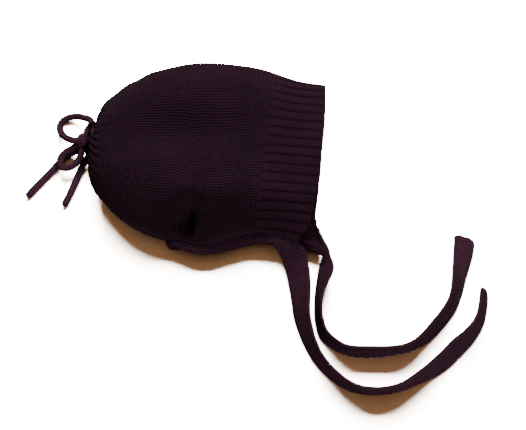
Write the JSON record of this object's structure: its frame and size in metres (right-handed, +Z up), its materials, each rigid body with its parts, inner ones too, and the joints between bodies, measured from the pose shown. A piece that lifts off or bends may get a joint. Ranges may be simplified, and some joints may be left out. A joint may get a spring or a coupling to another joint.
{
  "type": "knitted baby bonnet",
  "caption": "Baby bonnet lying on its side: hollow knitted crown gathered at the back by a bowed cord, ribbed band round the face, folded neck band and long knitted ties.",
  "frame": {"origin": "on the flat patch under the crown on which the bonnet lies, about the middle of the crown", "axes": "+Z up from the surface, +X towards the face opening, +Y towards the top of the head"},
  "size_m": [0.3549, 0.2543, 0.0524],
  "materials": {
    "crown_knit": "fine ribbed wool knit, dark plum",
    "rib_knit": "wide rib knit of the same wool",
    "neck_knit": "folded knit strip of the same wool",
    "tie_knit": "plain knit strip of the same wool",
    "cord": "knitted wool cord"
  },
  "bodies": {
    "root": {"crown": "crown_knit", "face_band": "rib_knit", "neck_band": "neck_knit", "right_tie": "tie_knit", "left_tie": "tie_knit", "draw_cord": "cord", "bow_knot": "cord", "bow_loop_upper": "cord", "bow_loop_lower": "cord", "cord_end_long": "cord", "cord_end_short": "cord"}
  },
  "joints": []
}
